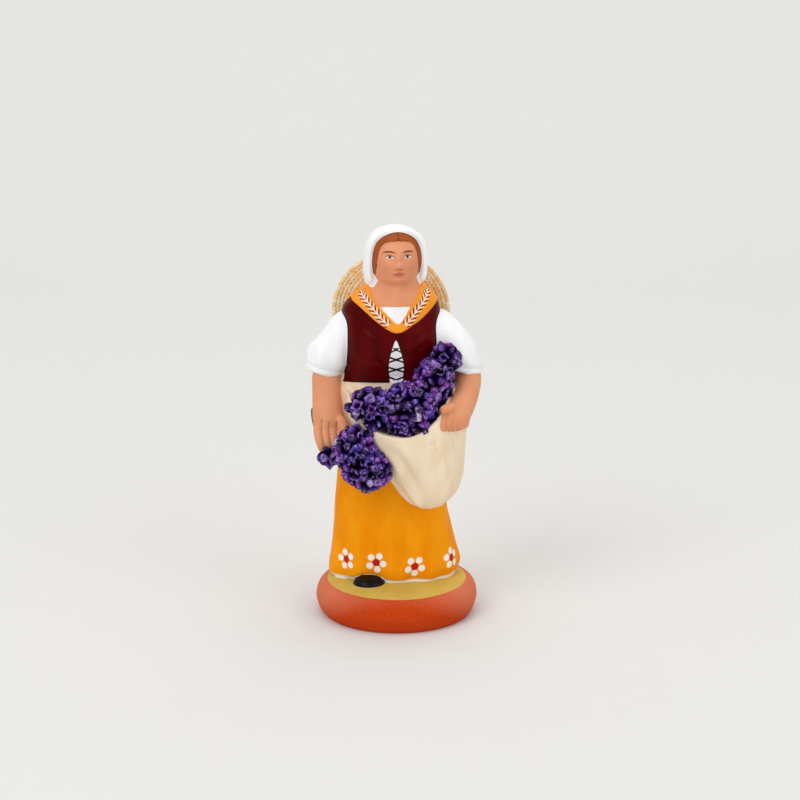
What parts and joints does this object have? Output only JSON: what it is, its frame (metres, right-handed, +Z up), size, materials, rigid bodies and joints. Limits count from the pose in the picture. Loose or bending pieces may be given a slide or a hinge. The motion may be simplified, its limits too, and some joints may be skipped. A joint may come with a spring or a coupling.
{
  "type": "santon figure",
  "caption": "Small painted clay figure of a countrywoman carrying lavender in her gathered apron and in her hand, with a straw hat on her back, on a rounded base.",
  "frame": {"origin": "centre of the base's flat underside", "axes": "+Z up through the head, the figure faces -Y, +X to the viewer's right"},
  "size_m": [0.0306, 0.0286, 0.0701],
  "materials": {
    "painted_clay": "matte",
    "lavender": "matte",
    "straw": "matte"
  },
  "bodies": {
    "root": {"figure": "painted_clay", "lavender_heap": "lavender", "lavender_bunch": "lavender", "straw_hat": "straw"}
  },
  "joints": []
}
